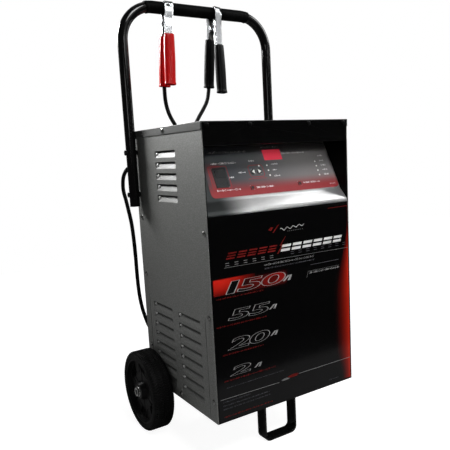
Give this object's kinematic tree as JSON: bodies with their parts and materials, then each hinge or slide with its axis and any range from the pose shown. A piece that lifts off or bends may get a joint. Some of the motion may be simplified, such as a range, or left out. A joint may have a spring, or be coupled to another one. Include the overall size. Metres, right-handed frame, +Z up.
{
  "type": "battery charger",
  "caption": "Wheeled car battery charger and engine starter: louvred steel cabinet with a sloped control panel, tube handle, front foot and clamps hung on the grip.",
  "frame": {"origin": "middle of the footprint of everything but the leads and clamps, on the floor", "axes": "+Z up, -Y towards the control panel, +X to the right seen from the front"},
  "size_m": [0.4574, 0.3998, 0.93],
  "materials": {
    "grey_paint": "hammertone",
    "black_paint": "gloss",
    "panel_metal": "satin",
    "label_film": "satin",
    "panel_film": "satin",
    "display": "clear gloss",
    "black_plastic": "moulded",
    "switch_plastic": "gloss",
    "button_plastic": "gloss",
    "lens": "clear",
    "screw_steel": "zinc plated",
    "grip_rubber": "ribbed",
    "axle_steel": "turned",
    "saddle_steel": "satin",
    "tyre_rubber": "moulded",
    "rim_plastic": "moulded",
    "cap_chrome": "polished",
    "clamp_chrome": "plated",
    "red_vinyl": "dipped vinyl",
    "black_vinyl": "dipped vinyl",
    "lead_jacket": "extruded",
    "lamination": "varnished",
    "copper": "enamelled",
    "heatsink": "extruded",
    "diode": "plated",
    "board": "solder mask",
    "wire_red": "insulated"
  },
  "bodies": {
    "root": {"left_side_panel": "grey_paint", "right_side_panel": "grey_paint", "top_cover": "grey_paint", "front_panel": "black_paint", "recess_liner": "black_paint", "control_panel": "panel_metal", "control_label": "panel_film", "front_label": "label_film", "display_window": "display", "rocker_bezel": "switch_plastic", "indicator_lights": "lens", "rear_panel": "black_paint", "base_pan": "black_paint", "cabinet_screws": "screw_steel", "front_screws": "black_paint", "handle_tube": "black_paint", "handle_grip": "grip_rubber", "handle_bolts": "screw_steel", "foot_strap": "black_paint", "foot_bolts": "screw_steel", "axle": "axle_steel", "axle_saddles": "saddle_steel", "saddle_bolts": "screw_steel", "axle_caps": "cap_chrome", "red_clamp_rear_half": "clamp_chrome", "red_clamp_rear_sleeve": "red_vinyl", "red_clamp_pin": "clamp_chrome", "red_clamp_spring": "clamp_chrome", "black_clamp_rear_half": "clamp_chrome", "black_clamp_rear_sleeve": "black_vinyl", "black_clamp_pin": "clamp_chrome", "black_clamp_spring": "clamp_chrome", "red_lead": "lead_jacket", "black_lead": "lead_jacket", "red_strain_relief": "black_plastic", "black_strain_relief": "black_plastic", "mains_gland": "black_plastic", "transformer_core": "lamination", "transformer_windings": "copper", "transformer_bolts": "screw_steel", "rectifier_heatsink": "heatsink", "rectifier_diodes": "diode", "fan_frame": "black_plastic", "control_board": "board", "circuit_breaker": "black_plastic", "internal_wiring": "wire_red"},
    "left_wheel": {"left_tyre": "tyre_rubber", "left_rim": "rim_plastic"},
    "right_wheel": {"right_tyre": "tyre_rubber", "right_rim": "rim_plastic"},
    "rocker": {"rocker_switch": "switch_plastic"},
    "left_arrow": {"arrow_button_left": "button_plastic"},
    "right_arrow": {"arrow_button_right": "button_plastic"},
    "battery_button": {"battery_type_button": "button_plastic"},
    "display_button": {"display_mode_button": "button_plastic"},
    "fan": {"fan_rotor": "black_plastic"},
    "red_jaw": {"red_clamp_front_half": "clamp_chrome", "red_clamp_front_sleeve": "red_vinyl"},
    "black_jaw": {"black_clamp_front_half": "clamp_chrome", "black_clamp_front_sleeve": "black_vinyl"}
  },
  "joints": [
    {"name": "left_wheel_spin", "type": "hinge", "parent": "root", "child": "left_wheel", "pos_m": [-0.2, 0.0855, 0.088], "axis": [1, 0, 0], "continuous": true},
    {"name": "right_wheel_spin", "type": "hinge", "parent": "root", "child": "right_wheel", "pos_m": [0.2, 0.0855, 0.088], "axis": [1, 0, 0], "continuous": true},
    {"name": "rocker_tilt", "type": "hinge", "parent": "root", "child": "rocker", "pos_m": [-0.1155, -0.13055, 0.5525], "axis": [1, 0, 0], "range_deg": [-22, 0]},
    {"name": "left_arrow_press", "type": "slide", "parent": "root", "child": "left_arrow", "axis": [0, 0.8965, -0.4431], "range_m": [0, 0.001], "stiffness_N_per_m": 300, "springref_m": -0.002},
    {"name": "right_arrow_press", "type": "slide", "parent": "root", "child": "right_arrow", "axis": [0, 0.8965, -0.4431], "range_m": [0, 0.001], "stiffness_N_per_m": 300, "springref_m": -0.002},
    {"name": "battery_button_press", "type": "slide", "parent": "root", "child": "battery_button", "axis": [0, 0.8965, -0.4431], "range_m": [0, 0.001], "stiffness_N_per_m": 300, "springref_m": -0.002},
    {"name": "display_button_press", "type": "slide", "parent": "root", "child": "display_button", "axis": [0, 0.8965, -0.4431], "range_m": [0, 0.001], "stiffness_N_per_m": 300, "springref_m": -0.002},
    {"name": "fan_spin", "type": "hinge", "parent": "root", "child": "fan", "pos_m": [0, 0.12, 0.396], "axis": [0, 1, 0], "continuous": true},
    {"name": "red_clamp_open", "type": "hinge", "parent": "root", "child": "red_jaw", "pos_m": [-0.0805, 0.112, 0.883], "axis": [0.991, -0.1217, -0.0558], "range_deg": [0, 7.5], "stiffness_Nm_per_rad": 3, "springref_deg": -34.38},
    {"name": "black_clamp_open", "type": "hinge", "parent": "root", "child": "black_jaw", "pos_m": [0.04, 0.112, 0.883], "axis": [0.9734, 0.2247, -0.0436], "range_deg": [0, 7.5], "stiffness_Nm_per_rad": 3, "springref_deg": -34.38}
  ]
}
